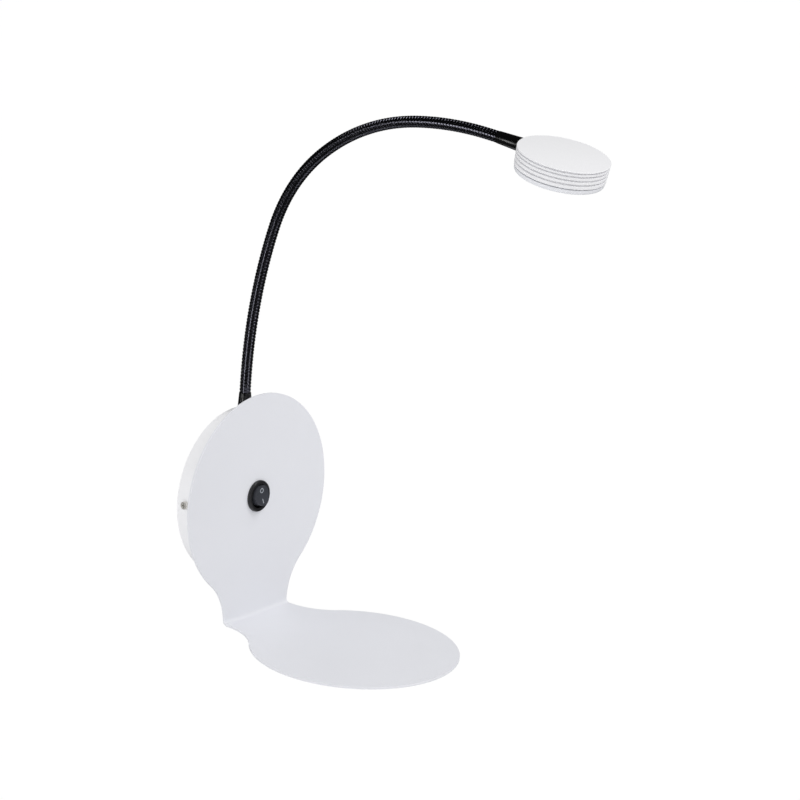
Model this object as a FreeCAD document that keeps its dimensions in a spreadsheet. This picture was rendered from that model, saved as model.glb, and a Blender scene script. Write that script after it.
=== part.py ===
import FreeCAD, Part
import math
import os
import re
import Sketcher

# A wall reading lamp: a folded sheet shelf, a round canopy, a rocker switch and a gooseneck with an LED head.
# Millimetres. The wall is the plane y = 0, the lamp reaches out towards -Y and +Z is up.
# The origin is the centre of the canopy on the wall.

document = FreeCAD.newDocument("ReadingLamp")
sizes = document.addObject("Spreadsheet::Sheet", "Sizes")

DRIVING_SIZES = [
    # canopy and its bracket
    ("canopy_radius", 61.4, "outside radius of the round canopy"),
    ("canopy_depth", 21.5, "from the wall to the canopy's front face"),
    ("canopy_wall", 1.2, "sheet of the canopy"),
    ("canopy_edge_radius", 1.5, "round of the canopy's front edge"),
    ("bracket_gauge", 1.5, "sheet of the wall bracket"),
    ("bracket_half_width", 12.0, "half the height of the bracket strip"),
    ("bracket_gap", 0.6, "bracket ears to the inside of the canopy"),
    ("ear_half_width", 7.0, "half the height of each bracket ear"),
    ("ear_depth", 13.0, "reach of the bracket ears from the wall"),
    ("wall_slot_spacing", 60.0, "between the centres of the two wall slots"),
    ("wall_slot_length", 12.0, "end to end length of a wall slot"),
    ("wall_slot_radius", 2.25, "half the width of a wall slot"),
    ("cable_hole_radius", 8.0, "hole for the supply cable"),
    ("side_screw_setback", 8.0, "side screws from the wall"),
    ("side_screw_rise", 3.5, "side screws above the canopy's centre"),
    ("side_screw_radius", 1.5, "thread of the side screws"),
    ("side_screw_head_radius", 2.8, "head of the side screws"),
    ("side_screw_head_height", 2.0, "height of the side screws' heads"),
    ("side_screw_length", 7.0, "side screws under the head"),
    ("screw_clearance", 0.05, "radial play of a screw in its hole"),
    ("wide_clearance", 0.2, "radial play of a screw in a drilled sheet"),
    # folded plate and shelf
    ("sheet_gauge", 1.5, "sheet of the plate and shelf"),
    ("plate_radius", 75.0, "radius of the round plate and of the round shelf"),
    ("fold_drop", 88.5, "plate centre down to the fold"),
    ("shelf_reach", 92.3, "fold to the centre of the round shelf"),
    ("waist_half_width", 34.7, "half the width at the fold"),
    ("waist_round", 41.0, "radius that runs each disc into the waist"),
    ("fold_radius", 3.0, "inner radius of the fold"),
    ("shelf_droop", 3.0, "degrees that the shelf falls towards its front"),
    ("cut_margin", 2.0, "how far a cut runs past the sheet"),
    ("stud_circle_radius", 42.0, "welded studs from the plate's centre"),
    ("stud_radius", 1.5, "thread of the welded studs"),
    ("stud_length", 9.0, "welded studs behind the plate"),
    ("stud_nut_half_flats", 2.75, "half the width across a stud nut's flats"),
    ("stud_nut_height", 2.4, "height of a stud nut"),
    # rocker switch
    ("switch_hole_radius", 10.0, "hole in the plate for the switch"),
    ("switch_flange_radius", 11.5, "outside radius of the switch's bezel"),
    ("switch_flange_height", 2.2, "bezel proud of the plate"),
    ("switch_bezel_round", 1.2, "round of the bezel's outer edge"),
    ("switch_body_radius", 9.8, "outside of the switch's body"),
    ("switch_well_radius", 8.6, "inside of the switch's body"),
    ("switch_depth", 12.0, "bezel's seat to the back of the switch's body"),
    ("switch_floor", 1.0, "back wall of the switch's body"),
    ("switch_fin_reach", 1.1, "snap fins proud of the body"),
    ("switch_fin_length", 4.0, "length of the snap fins"),
    ("switch_fin_half_width", 2.0, "half the width of a snap fin"),
    ("rocker_axis_depth", 1.8, "rocker's axis behind the plate's face"),
    ("rocker_radius", 7.5, "outline of the rocker"),
    ("rocker_sweep_radius", 10.6, "rocker's curved ends about its axis"),
    ("rocker_height", 5.6, "axis to the valley between the two facets"),
    ("rocker_base", 2.5, "axis to the underside of the rocker"),
    ("rocker_tilt", 10.0, "degrees from level to either side"),
    ("trunnion_radius", 1.0, "pivot stubs of the rocker"),
    ("trunnion_reach", 9.6, "end of each pivot stub from the centre"),
    ("stem_radius", 1.8, "stem under the rocker"),
    ("stem_length", 5.5, "axis to the end of the stem"),
    ("plunger_radius", 1.0, "plunger in the stem"),
    ("plunger_top", 3.6, "axis to the plunger's inner end"),
    ("plunger_tip", 7.3, "axis to the plunger's rounded tip"),
    ("spring_wall", 0.25, "wire of the plunger's spring"),
    ("contact_depth", 8.05, "rocker's axis to the middle of the contact lever"),
    ("contact_gauge", 0.5, "thickness of the contact lever"),
    ("contact_half_length", 5.5, "half the length of the contact lever"),
    ("contact_half_width", 1.5, "half the width of the contact lever"),
    ("contact_tilt", 6.0, "degrees of the contact lever to either side"),
    ("contact_gap", 0.3, "lever to the terminals under it"),
    ("contact_drop", 0.4, "end terminal below the middle one"),
    ("blade_spacing", 4.5, "between the two terminal blades"),
    ("blade_half_width", 2.0, "half the width of a terminal blade"),
    ("blade_gauge", 0.8, "thickness of a terminal blade"),
    ("blade_end_setback", 4.5, "ends of the terminal blades from the wall"),
    ("blade_play", 0.05, "slot in the switch's floor round a blade"),
    # gooseneck
    ("neck_setback", 9.3, "neck's foot from the wall"),
    ("neck_foot_height", 75.5, "height of the first ball's centre"),
    ("neck_start_lean", 2.3, "degrees that the neck leans out at its foot"),
    ("bend_a_length", 126.5, "first stretch of the neck"),
    ("bend_a_radius", 418.0, "bend of the first stretch"),
    ("bend_b_length", 71.5, "second stretch of the neck"),
    ("bend_b_radius", 133.7, "bend of the second stretch"),
    ("bend_c_length", 91.0, "third stretch of the neck"),
    ("bend_c_radius", 163.7, "bend of the third stretch"),
    ("bend_d_radius", 262.8, "bend of the last stretch"),
    ("rib_pitch", 2.5, "from rib to rib"),
    ("rib_width", 1.25, "foot of a rib"),
    ("rib_slope", 0.3, "length of each flank of a rib"),
    ("rib_crest_radius", 4.1, "outside of the ribs"),
    ("rib_root_radius", 3.65, "bottom of the grooves"),
    ("neck_bore_radius", 1.9, "bore for the wires"),
    ("ball_radius", 3.2, "ball that joins two links"),
    ("ball_play", 0.1, "radial play of a ball in its socket"),
    ("rim_offset", 0.3, "socket's rim beyond the ball's centre"),
    ("ferrule_small_radius", 4.2, "both ferrules where the neck starts"),
    ("base_ferrule_radius", 5.3, "base ferrule on the canopy"),
    ("base_tail_radius", 4.0, "threaded tail of the base ferrule"),
    ("base_tail_length", 8.0, "threaded tail below the canopy's outside"),
    ("seat_play", 0.05, "ferrule's shoulder to the round face under it"),
    ("nut_half_flats", 6.5, "half the width across the tail nut's flats"),
    ("nut_height", 4.0, "height of the tail nut"),
    ("washer_radius", 7.0, "washer under the tail nut"),
    ("washer_gauge", 0.8, "thickness of that washer"),
    ("washer_drop", 0.45, "washer below the crown of the round canopy"),
    # lamp head
    ("head_pitch", 12.5, "degrees that the head looks down at its front"),
    ("ferrule_pitch", 7.0, "degrees that the end ferrule points down"),
    ("head_radius", 31.9, "head at its top face"),
    ("head_foot_radius", 31.2, "head at the housing's lower edge"),
    ("housing_height", 12.6, "height of the finned housing"),
    ("housing_roof", 2.6, "thickness of the housing's top"),
    ("housing_bore_radius", 27.4, "inside of the housing"),
    ("head_edge", 0.5, "bevel of the top edge"),
    ("groove_a_depth", 1.4, "top face to the middle of the first groove"),
    ("groove_b_depth", 3.8, "top face to the middle of the second groove"),
    ("groove_c_depth", 6.7, "top face to the middle of the third groove"),
    ("groove_d_depth", 9.7, "top face to the middle of the fourth groove"),
    ("groove_width", 0.9, "width of each groove"),
    ("groove_bite", 2.0, "depth of each groove"),
    ("diffuser_depth", 4.2, "diffuser below the housing"),
    ("diffuser_radius", 30.0, "diffuser at its rim"),
    ("diffuser_round", 3.0, "round of the diffuser's lower edge"),
    ("diffuser_wall", 1.5, "thickness of the diffuser"),
    ("diffuser_snap_radius", 27.3, "snap ring inside the housing"),
    ("diffuser_snap_height", 1.2, "snap ring above the housing's edge"),
    ("diffuser_seat", 0.5, "parting line between housing and diffuser"),
    ("entry_depth", 6.7, "middle of the spot face below the head's top face"),
    ("spot_depth", 0.6, "spot face in the housing's side"),
    ("end_ferrule_length", 23.4, "end ferrule outside the head"),
    ("end_ferrule_radius", 5.1, "end ferrule at the head"),
    ("end_tail_radius", 3.0, "threaded tail of the end ferrule"),
    ("end_tail_length", 9.5, "threaded tail inside the head"),
    ("boss_half_width", 5.5, "half the width of the boss for the tail"),
    ("boss_depth", 8.4, "boss below the housing's roof"),
    ("boss_inner", 21.0, "head's centre to the inner face of the boss"),
    ("grub_radius", 1.5, "grub screw that locks the tail"),
    ("grub_inset", 25.0, "head's centre to the grub screw"),
    ("board_radius", 19.5, "LED board"),
    ("board_gauge", 1.6, "thickness of the LED board"),
    ("thermal_gauge", 0.4, "thickness of the thermal pad"),
    ("thermal_radius", 19.0, "thermal pad"),
    ("board_screw_circle", 16.5, "board screws from the head's centre"),
    ("board_screw_radius", 1.25, "thread of the board screws"),
    ("board_screw_head_radius", 2.2, "head of the board screws"),
    ("board_screw_head_height", 1.5, "height of the board screws' heads"),
    ("board_screw_bite", 1.3, "board screws' thread in the roof"),
    ("chip_side", 3.0, "side of an LED chip"),
    ("chip_height", 0.7, "height of an LED chip"),
    ("chip_outer_circle", 11.5, "outer ring of LED chips"),
    ("chip_inner_circle", 5.5, "inner ring of LED chips"),
    # parts inside the canopy
    ("driver_length", 42.0, "LED driver along the wall"),
    ("driver_height", 24.0, "LED driver up and down"),
    ("driver_thickness", 14.5, "LED driver out from its pad"),
    ("driver_drop", 38.0, "driver's middle below the canopy's centre"),
    ("driver_round", 1.5, "rounded edges of the driver"),
    ("driver_pad_gauge", 1.0, "sticky pad under the driver"),
    ("driver_pad_inset", 4.0, "pad inside the driver's outline"),
    ("block_length", 28.0, "terminal block along the wall"),
    ("block_height", 16.0, "terminal block up and down"),
    ("block_thickness", 13.0, "terminal block out from the canopy's face"),
    ("block_rise", 32.0, "terminal block's middle above the centre"),
    ("block_pitch", 9.0, "between two poles of the terminal block"),
    ("clamp_screw_radius", 1.6, "screws of the terminal block"),
    ("clamp_screw_depth", 3.0, "screws' wells in the terminal block"),
    ("clamp_screw_spread", 4.5, "screws above and below the block's middle"),
    ("clamp_screw_recess", 1.0, "screws' heads below the block's face"),
    ("block_gap_half_width", 0.75, "half of each gap between two poles"),
    ("screwdriver_slot_width", 0.6, "slot in a screw's head"),
    ("cross_length", 3.4, "each arm to arm of a cross recess"),
    ("cross_depth", 1.2, "depth of a cross recess"),
    ("screwdriver_slot_depth", 0.6, "slot in a clamp screw's head"),
    ("earth_stud_radius", 2.0, "thread of the earth stud"),
    ("earth_stud_length", 10.0, "earth stud behind the canopy's face"),
    ("earth_stud_offset", 42.0, "earth stud beside the centre"),
    ("earth_nut_half_flats", 3.5, "half the width across the earth nut's flats"),
    ("earth_nut_height", 3.2, "height of the earth nut"),
    ("earth_tag_radius", 6.2, "ring tag under the earth nut"),
    ("earth_tag_gauge", 0.8, "thickness of the ring tag"),
    ("lead_radius", 0.9, "single wires inside the canopy"),
    ("neck_lead_radius", 1.3, "twin wire from the driver into the neck"),
    ("head_lead_radius", 0.6, "wires inside the head"),
    ("seat_gap", 0.1, "gap that parts two pieces at rest"),
]

for line, (alias, number, meaning) in enumerate(DRIVING_SIZES, start=1):
    sizes.set("A%d" % line, meaning)
    sizes.set("B%d" % line, str(number))
    sizes.setAlias("B%d" % line, alias)
document.recompute()

LINK_COUNT = 24
RIBS_PER_LINK = 6
STUD_COUNT = 4
BOARD_SCREW_COUNT = 3
OUTER_CHIPS = 10
INNER_CHIPS = 5

ALIAS = re.compile(r"\b(%s)\b" % "|".join(alias for alias, number, meaning in DRIVING_SIZES))

# Places that several pieces share, written with the driving sizes.
PLATE_FRONT = "(-(canopy_depth + sheet_gauge))"
PLATE_REAR = "(-canopy_depth)"
CANOPY_INSIDE = "(canopy_wall - canopy_depth)"
CANOPY_BORE = "(canopy_radius - canopy_wall)"
BRACKET_HALF = "(canopy_radius - canopy_wall - bracket_gap)"
ROCKER_AXIS = "(rocker_axis_depth - canopy_depth - sheet_gauge)"
SWITCH_BACK = "(switch_depth - canopy_depth - sheet_gauge)"
LINK_LENGTH = "(%d * rib_pitch)" % RIBS_PER_LINK
LINK_GAP = "(rib_pitch - rib_width)"
FERRULE_SHOULDER = "(neck_foot_height + rim_offset - rib_pitch + rib_width)"
CONTACT_Y = "(rocker_axis_depth - canopy_depth - sheet_gauge + contact_depth)"
MIDDLE_BLADE_TOP = "(%s + contact_gauge / 2 + contact_gap)" % CONTACT_Y
END_BLADE_TOP = "(%s + contact_drop)" % MIDDLE_BLADE_TOP
BOARD_TOP = "(-(housing_roof + thermal_gauge))"
BOARD_FACE = "(-(housing_roof + thermal_gauge + board_gauge))"

X = FreeCAD.Vector(1, 0, 0)
Y = FreeCAD.Vector(0, 1, 0)
Z = FreeCAD.Vector(0, 0, 1)


def value(expression):
    """Number that an expression of driving sizes gives."""
    return float(sizes.evalExpression(expression))


def bind(thing, prop, expression):
    """Tie a property to the driving sizes."""
    thing.setExpression(prop, ALIAS.sub(r"Sizes.\1", expression))


def place(thing, x="0", y="0", z="0", axis=Z, angle=0.0):
    """Turn a piece about an axis and tie its place to the driving sizes."""
    thing.Placement = FreeCAD.Placement(FreeCAD.Vector(0, 0, 0), FreeCAD.Rotation(axis, angle))
    for letter, expression in (("x", x), ("y", y), ("z", z)):
        bind(thing, "Placement.Base." + letter, expression)


def new_body(name):
    body = document.addObject("PartDesign::Body", name)
    body.Label = name
    return body


def new_sketch(body, role, offset=None):
    """Sketch on one of the body's own origin planes, moved along its normal if asked."""
    sketch = body.newObject("Sketcher::SketchObject", body.Name + "_sketch")
    plane = [item for item in body.Origin.OriginFeatures if item.Role == role][0]
    sketch.AttachmentSupport = [(plane, "")]
    sketch.MapMode = "FlatFace"
    if offset:
        bind(sketch, "AttachmentOffset.Base.z", offset)
    return sketch


def fix_point(sketch, edge, end, x, y):
    """Hold a point of the sketch at its two distances from the origin."""
    for kind, axis, expression in (("DistanceX", -2, x), ("DistanceY", -1, y)):
        if abs(value(expression)) < 1e-9:
            sketch.addConstraint(Sketcher.Constraint("PointOnObject", edge, end, axis))
            continue
        number = sketch.addConstraint(Sketcher.Constraint(kind, -1, 1, edge, end, value(expression)))
        sketch.setExpression("Constraints[%d]" % number, ALIAS.sub(r"Sizes.\1", expression))


def arc_between(start, end, radius):
    """Short arc from start to end, with its centre on the left for a positive radius."""
    chord = end - start
    rise = math.sqrt(max(radius * radius - chord.Length ** 2 / 4, 0.0))
    left = FreeCAD.Vector(-chord.y, chord.x, 0).normalize()
    centre = (start + end) / 2 + left * math.copysign(rise, radius)
    turn = [math.atan2(point.y - centre.y, point.x - centre.x) for point in (start, end)]
    if radius < 0:
        turn.reverse()
    return Part.ArcOfCircle(Part.Circle(centre, Z, abs(radius)), turn[0], turn[1])


def draw(sketch, corners):
    """Closed outline: corners are (x, y) or, before an arc, (x, y, signed radius)."""
    first = sketch.GeometryCount
    points = [FreeCAD.Vector(value(corner[0]), value(corner[1]), 0) for corner in corners]
    count = len(corners)
    starts = []
    for index, corner in enumerate(corners):
        start, end = points[index], points[(index + 1) % count]
        if len(corner) == 2:
            sketch.addGeometry(Part.LineSegment(start, end), False)
            starts.append((1, 2))
        else:
            sketch.addGeometry(arc_between(start, end, value(corner[2])), False)
            starts.append((1, 2) if value(corner[2]) > 0 else (2, 1))
    for index, corner in enumerate(corners):
        following = (index + 1) % count
        joint = (first + index, starts[index][1], first + following, starts[following][0])
        sketch.addConstraint(Sketcher.Constraint("Coincident", *joint))
        fix_point(sketch, first + index, starts[index][0], corner[0], corner[1])
        if len(corner) == 3:
            size = abs(value(corner[2]))
            number = sketch.addConstraint(Sketcher.Constraint("Radius", first + index, size))
            bind(sketch, "Constraints[%d]" % number, "abs(%s)" % corner[2])


def draw_circle(sketch, x, y, radius):
    centre = FreeCAD.Vector(value(x), value(y), 0)
    number = sketch.GeometryCount
    sketch.addGeometry(Part.Circle(centre, Z, value(radius)), False)
    fix_point(sketch, number, 3, x, y)
    constraint = sketch.addConstraint(Sketcher.Constraint("Radius", number, value(radius)))
    bind(sketch, "Constraints[%d]" % constraint, radius)


def rectangle(left, right, low, high):
    return [(left, low), (right, low), (right, high), (left, high)]


def pad(body, sketch, length, both_ways=False, reverse=False):
    feature = body.newObject("PartDesign::Pad", body.Name + "_pad")
    feature.Profile = sketch
    feature.Midplane = both_ways
    feature.Reversed = reverse
    bind(feature, "Length", length)
    return feature


def pocket(body, sketch, length=None, both_ways=False, reverse=False):
    feature = body.newObject("PartDesign::Pocket", body.Name + "_pocket")
    feature.Profile = sketch
    feature.Midplane = both_ways
    feature.Reversed = reverse
    if length is None:
        feature.Type = "ThroughAll"
    else:
        bind(feature, "Length", length)
    return feature


def revolve(body, sketch, axis):
    feature = body.newObject("PartDesign::Revolution", body.Name + "_turn")
    feature.Profile = sketch
    feature.ReferenceAxis = (sketch, [axis])
    feature.Angle = 360
    return feature


def turned(name, role, axis, corners):
    """Body turned from one closed outline."""
    body = new_body(name)
    sketch = new_sketch(body, role)
    draw(sketch, corners)
    revolve(body, sketch, axis)
    return body


def primitive(kind, name, **expressions):
    thing = document.addObject("Part::" + kind, name)
    for prop, expression in expressions.items():
        bind(thing, prop, expression)
    return thing


def combine(kind, name, base, tool):
    """Cut, Fuse or Common of two shapes."""
    thing = document.addObject("Part::" + kind, name)
    thing.Base = base
    thing.Tool = tool
    return thing


def group(name, members):
    """One node of several like solids."""
    thing = document.addObject("Part::Compound", name)
    thing.Links = members
    return thing


def around(count, first_angle=0.0):
    """Angles of evenly spaced copies, in degrees."""
    return [first_angle + 360.0 * index / count for index in range(count)]


def on_circle(radius, angle):
    """The two coordinates of a place on a circle, as expressions."""
    return "(%s * cos(%r))" % (radius, angle), "(%s * sin(%r))" % (radius, angle)


# Wall bracket: a flat strip with two ears that take the side screws.
def make_wall_bracket():
    body = new_body("wall_bracket")
    strip = new_sketch(body, "XZ_Plane")
    half = BRACKET_HALF
    corner = "sqrt(%s^2 - bracket_half_width^2)" % half
    draw(strip, [
        (corner, "-bracket_half_width", half),
        (corner, "bracket_half_width"),
        ("-" + corner, "bracket_half_width", half),
        ("-" + corner, "-bracket_half_width"),
    ])
    pad(body, strip, "bracket_gauge")
    ear = new_sketch(body, "XZ_Plane")
    draw(ear, rectangle(half + " - bracket_gauge", half, "-ear_half_width", "ear_half_width"))
    first_ear = pad(body, ear, "ear_depth")
    mirror = body.newObject("PartDesign::Mirrored", "wall_bracket_mirror")
    mirror.Originals = [first_ear]
    mirror.MirrorPlane = ([item for item in body.Origin.OriginFeatures if item.Role == "YZ_Plane"][0], [""])
    body.Tip = mirror
    threads = new_sketch(body, "YZ_Plane")
    draw_circle(threads, "-side_screw_setback", "side_screw_rise", "side_screw_radius + screw_clearance")
    pocket(body, threads, both_ways=True)
    holes = new_sketch(body, "XZ_Plane")
    draw_circle(holes, "0", "0", "cable_hole_radius")
    run = "(wall_slot_length / 2 - wall_slot_radius)"
    for side in ("-1", "1"):
        middle = "(%s * wall_slot_spacing / 2)" % side
        draw(holes, [
            (middle + " - " + run, "-wall_slot_radius"),
            (middle + " + " + run, "-wall_slot_radius", "wall_slot_radius"),
            (middle + " + " + run + " + wall_slot_radius", "0", "wall_slot_radius"),
            (middle + " + " + run, "wall_slot_radius"),
            (middle + " - " + run, "wall_slot_radius", "wall_slot_radius"),
            (middle + " - " + run + " - wall_slot_radius", "0", "wall_slot_radius"),
        ])
    pocket(body, holes, both_ways=True)
    return body


# Canopy: a round cup, open to the wall.
def make_canopy():
    edge = "canopy_edge_radius"
    body = turned("canopy", "YZ_Plane", "H_Axis", [
        ("0", CANOPY_BORE),
        ("0", "canopy_radius"),
        ("-canopy_depth + " + edge, "canopy_radius", edge),
        ("-canopy_depth", "canopy_radius - " + edge),
        ("-canopy_depth", "0"),
        (CANOPY_INSIDE, "0"),
        (CANOPY_INSIDE, CANOPY_BORE),
    ])
    front = new_sketch(body, "XZ_Plane")
    draw_circle(front, "0", "0", "switch_hole_radius")
    for angle in around(STUD_COUNT, 45):
        x, z = on_circle("stud_circle_radius", angle)
        draw_circle(front, x, z, "stud_radius + wide_clearance")
    pocket(body, front, both_ways=True)
    neck_hole = new_sketch(body, "XY_Plane")
    draw_circle(neck_hole, "0", "-neck_setback", "base_tail_radius + screw_clearance")
    pocket(body, neck_hole, "canopy_radius + cut_margin", reverse=True)
    side_holes = new_sketch(body, "YZ_Plane")
    draw_circle(side_holes, "-side_screw_setback", "side_screw_rise", "side_screw_radius + wide_clearance")
    pocket(body, side_holes, both_ways=True)
    return body


# Side screws: pan heads outside the canopy, threads in the bracket's ears.
def make_side_screws():
    screws = []
    for side in (-1, 1):
        name = "side_screw_%s" % ("left" if side < 0 else "right")
        head = primitive("Cylinder", name + "_head", Radius="side_screw_head_radius",
                         Height="side_screw_head_height")
        shank = primitive("Cylinder", name + "_shank", Radius="side_screw_radius", Height="side_screw_length")
        place(shank, z="-side_screw_length")
        top = "side_screw_head_height - cross_depth"
        arms = []
        for long_side, wide, high in (("first", "cross_length", "screwdriver_slot_width"),
                                      ("second", "screwdriver_slot_width", "cross_length")):
            arm = primitive("Box", name + "_arm_" + long_side, Length=wide, Width=high, Height="cross_depth")
            place(arm, "-%s / 2" % wide, "-%s / 2" % high, top)
            arms.append(arm)
        cross = combine("Fuse", name + "_cross", *arms)
        screw = combine("Cut", name, combine("Fuse", name + "_blank", head, shank), cross)
        place(screw, "%d * (canopy_radius + seat_play)" % side, "-side_screw_setback", "side_screw_rise",
              axis=Y, angle=90 * side)
        screws.append(screw)
    return group("side_screws", screws)


# Folded sheet: a round plate, a waist, a fold and a round shelf.
def frame_round_disc(sketch, centre, away, near_end):
    """Everything outside a disc and its waist; away is 1 or -1, the way from the fold to the disc."""
    spread = "(plate_radius + waist_round)"
    waist_x = "(waist_half_width + waist_round)"
    waist_y = "(%s - %d * sqrt(%s^2 - %s^2))" % (centre, away, spread, waist_x)
    touch_x = "(%s * plate_radius / %s)" % (waist_x, spread)
    touch_y = "(%s + (%s - %s) * plate_radius / %s)" % (centre, waist_y, centre, spread)
    crown_y = "(%s + %d * plate_radius)" % (centre, away)
    wide = "(plate_radius + cut_margin)"
    far_end = "(%s + %d * %s)" % (centre, away, wide)
    hollow = "-waist_round" if away > 0 else "waist_round"
    full = "plate_radius" if away > 0 else "-plate_radius"
    draw(sketch, [
        ("waist_half_width", near_end),
        ("waist_half_width", waist_y, hollow),
        (touch_x, touch_y, full),
        ("0", crown_y, full),
        ("-" + touch_x, touch_y, hollow),
        ("-waist_half_width", waist_y),
        ("-waist_half_width", near_end),
        ("-" + wide, near_end),
        ("-" + wide, far_end),
        (wide, far_end),
        (wide, near_end),
    ])


def make_shelf_plate():
    body = new_body("shelf_plate")
    fall, run = "sin(shelf_droop)", "cos(shelf_droop)"
    bend_y = "(%s - fold_radius)" % PLATE_FRONT
    bend_z = "(-fold_drop + fold_radius * (1 - %s) / %s)" % (fall, run)
    outer = "(fold_radius + sheet_gauge)"
    top = "(plate_radius + cut_margin / 2)"
    reach = "(shelf_reach + plate_radius + cut_margin / 2)"
    end_y = "(%s - %s * %s)" % (PLATE_FRONT, reach, run)
    end_z = "(-fold_drop - %s * %s)" % (reach, fall)
    side = new_sketch(body, "YZ_Plane")
    draw(side, [
        (PLATE_FRONT, top),
        (PLATE_FRONT, bend_z, "-fold_radius"),
        ("%s + fold_radius * %s" % (bend_y, fall), "%s - fold_radius * %s" % (bend_z, run)),
        (end_y, end_z),
        ("%s + sheet_gauge * %s" % (end_y, fall), "%s - sheet_gauge * %s" % (end_z, run)),
        ("%s + %s * %s" % (bend_y, outer, fall), "%s - %s * %s" % (bend_z, outer, run), outer),
        (PLATE_REAR, bend_z),
        (PLATE_REAR, top),
    ])
    pad(body, side, "2 * plate_radius + cut_margin", both_ways=True)
    plate_edge = new_sketch(body, "XZ_Plane")
    frame_round_disc(plate_edge, "0", 1, "-(fold_drop + sheet_gauge + cut_margin)")
    pocket(body, plate_edge, "canopy_depth + sheet_gauge + fold_radius", reverse=True)
    shelf_edge = new_sketch(body, "XY_Plane")
    frame_round_disc(shelf_edge, "(%s - shelf_reach * %s)" % (PLATE_FRONT, run), -1, bend_y)
    pocket(body, shelf_edge, both_ways=True)
    hole = new_sketch(body, "XZ_Plane")
    draw_circle(hole, "0", "0", "switch_hole_radius")
    pocket(body, hole, both_ways=True)
    return body


# Studs welded to the back of the plate and their nuts inside the canopy.
def make_plate_studs():
    studs = []
    for number, angle in enumerate(around(STUD_COUNT, 45), start=1):
        stud = primitive("Cylinder", "plate_stud_%d" % number, Radius="stud_radius", Height="stud_length")
        x, z = on_circle("stud_circle_radius", angle)
        place(stud, x, PLATE_REAR, z, axis=X, angle=-90)
        studs.append(stud)
    return group("plate_studs", studs)


def hex_nut(name, half_flats, height, bore):
    blank = document.addObject("Part::Prism", name + "_blank")
    blank.Polygon = 6
    bind(blank, "Circumradius", "%s / cos(30)" % half_flats)
    bind(blank, "Height", height)
    thread = primitive("Cylinder", name + "_thread", Radius=bore, Height=height)
    return combine("Cut", name, blank, thread)


def make_plate_nuts():
    nuts = []
    for number, angle in enumerate(around(STUD_COUNT, 45), start=1):
        nut = hex_nut("plate_nut_%d" % number, "stud_nut_half_flats", "stud_nut_height",
                      "stud_radius + screw_clearance")
        x, z = on_circle("stud_circle_radius", angle)
        place(nut, x, CANOPY_INSIDE, z, axis=X, angle=-90)
        nuts.append(nut)
    return group("plate_nuts", nuts)


# Rocker switch.
def make_switch_housing():
    face = "(%s - switch_flange_height)" % PLATE_FRONT
    floor = "(%s - switch_floor)" % SWITCH_BACK
    body = turned("switch_housing", "YZ_Plane", "H_Axis", [
        (SWITCH_BACK, "0"),
        (SWITCH_BACK, "switch_body_radius"),
        (PLATE_FRONT, "switch_body_radius"),
        (PLATE_FRONT, "switch_flange_radius"),
        (face + " + switch_bezel_round", "switch_flange_radius", "switch_bezel_round"),
        (face, "switch_flange_radius - switch_bezel_round"),
        (face, "switch_well_radius + switch_floor / 2", "switch_floor / 2"),
        (face + " + switch_floor / 2", "switch_well_radius"),
        (floor, "switch_well_radius"),
        (floor, "0"),
    ])
    fins = new_sketch(body, "XY_Plane")
    inner = "(switch_body_radius - switch_floor / 2)"
    tip = "(switch_body_radius + switch_fin_reach)"
    start = "(%s + seat_gap)" % CANOPY_INSIDE
    for side in ("", "-"):
        draw(fins, [(side + inner, start), (side + tip, start), (side + inner, start + " + switch_fin_length")])
    pad(body, fins, "2 * switch_fin_half_width", both_ways=True)
    pivots = new_sketch(body, "YZ_Plane")
    draw_circle(pivots, ROCKER_AXIS, "0", "trunnion_radius + screw_clearance")
    pocket(body, pivots, both_ways=True)
    slots = new_sketch(body, "XZ_Plane")
    wide = "(blade_half_width + blade_play)"
    thick = "(blade_gauge / 2 + blade_play)"
    for middle in ("0", "blade_spacing"):
        draw(slots, rectangle("-" + wide, wide, "%s - %s" % (middle, thick), "%s + %s" % (middle, thick)))
    pocket(body, slots, "-%s + seat_gap" % floor, reverse=True)
    return body


def make_switch_rocker():
    steep = "tan(rocker_tilt)"
    end_z = ("((sqrt(rocker_sweep_radius^2 * (1 + %s^2) - rocker_height^2) - rocker_height * %s) / (1 + %s^2))"
             % (steep, steep, steep))
    end_y = "(rocker_height + %s * %s)" % (steep, end_z)
    low_z = "sqrt(rocker_sweep_radius^2 - rocker_base^2)"
    wedge = new_body("rocker_wedge")
    side = new_sketch(wedge, "YZ_Plane")
    draw(side, [
        ("-rocker_height", "0"),
        ("-" + end_y, end_z, "-rocker_sweep_radius"),
        ("rocker_base", low_z),
        ("rocker_base", "-" + low_z, "-rocker_sweep_radius"),
        ("-" + end_y, "-" + end_z),
    ])
    pad(wedge, side, "2 * rocker_radius", both_ways=True)
    round_blank = primitive("Cylinder", "rocker_round", Radius="rocker_radius",
                            Height="2 * rocker_sweep_radius")
    place(round_blank, y="-rocker_sweep_radius", axis=X, angle=-90)
    key = combine("Common", "rocker_key", wedge, round_blank)
    trunnion = primitive("Cylinder", "rocker_trunnion", Radius="trunnion_radius", Height="2 * trunnion_reach")
    place(trunnion, "-trunnion_reach", axis=Y, angle=90)
    stem = primitive("Cylinder", "rocker_stem", Radius="stem_radius", Height="stem_length")
    place(stem, axis=X, angle=-90)
    bore = primitive("Cylinder", "rocker_bore", Radius="plunger_radius + screw_clearance", Height="stem_length")
    place(bore, y="trunnion_radius", axis=X, angle=-90)
    solid = combine("Fuse", "rocker_with_stem", combine("Fuse", "rocker_with_trunnion", key, trunnion), stem)
    rocker = combine("Cut", "switch_rocker", solid, bore)
    place(rocker, y=ROCKER_AXIS, axis=X, angle=-value("rocker_tilt"))
    return rocker


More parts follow.
